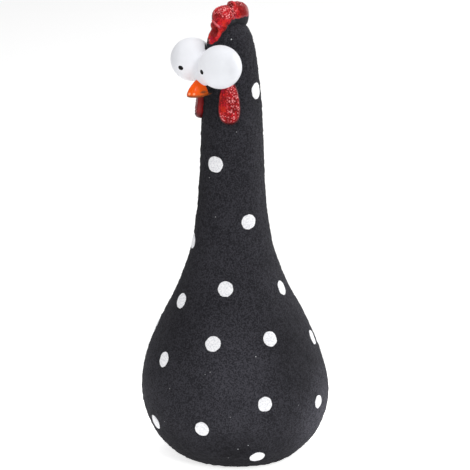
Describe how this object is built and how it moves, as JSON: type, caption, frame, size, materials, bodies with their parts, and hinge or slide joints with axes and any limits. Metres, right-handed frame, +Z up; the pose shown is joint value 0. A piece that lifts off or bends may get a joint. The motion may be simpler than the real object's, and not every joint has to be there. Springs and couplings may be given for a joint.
{
  "type": "chicken statue",
  "caption": "Tall pear-shaped hen ornament in matte black with painted white spots, ball eyes, a lobed comb, a beak and wattles, standing free on a felt-covered foot.",
  "frame": {"origin": "on the table, under the middle of the belly", "axes": "+Z up; the hen faces -Y; its own left side is +X"},
  "size_m": [0.1212, 0.1224, 0.2994],
  "materials": {
    "cast_black": "matte charcoal paint over the fine sandy grain of stone-filled resin",
    "red_paint": "satin red paint over a pebbled surface, with small bright glints",
    "orange_gloss": "glossy orange enamel, browner low down",
    "white_gloss": "smooth glossy white enamel",
    "pupil_black": "glossy black",
    "spot_white": "thick matte white paint, dabbed on by hand",
    "stopper_rubber": "matte dark grey rubber",
    "felt_black": "black felt"
  },
  "bodies": {
    "root": {"body_shell": "cast_black", "comb": "red_paint", "beak": "orange_gloss", "left_eye": "white_gloss", "right_eye": "white_gloss", "left_pupil": "pupil_black", "right_pupil": "pupil_black", "left_wattle": "red_paint", "right_wattle": "red_paint", "base_stopper": "stopper_rubber", "base_felt": "felt_black", "spot_01": "spot_white", "spot_02": "spot_white", "spot_03": "spot_white", "spot_04": "spot_white", "spot_05": "spot_white", "spot_06": "spot_white", "spot_07": "spot_white", "spot_08": "spot_white", "spot_09": "spot_white", "spot_10": "spot_white", "spot_11": "spot_white", "spot_12": "spot_white", "spot_13": "spot_white", "spot_14": "spot_white", "spot_15": "spot_white", "spot_16": "spot_white", "spot_17": "spot_white", "spot_18": "spot_white", "spot_19": "spot_white", "spot_20": "spot_white", "spot_21": "spot_white", "spot_22": "spot_white", "spot_23": "spot_white", "spot_24": "spot_white", "spot_25": "spot_white", "spot_26": "spot_white", "spot_27": "spot_white", "spot_28": "spot_white", "spot_29": "spot_white", "spot_30": "spot_white", "spot_31": "spot_white", "spot_32": "spot_white", "spot_33": "spot_white", "spot_34": "spot_white", "spot_35": "spot_white", "spot_36": "spot_white"}
  },
  "joints": []
}
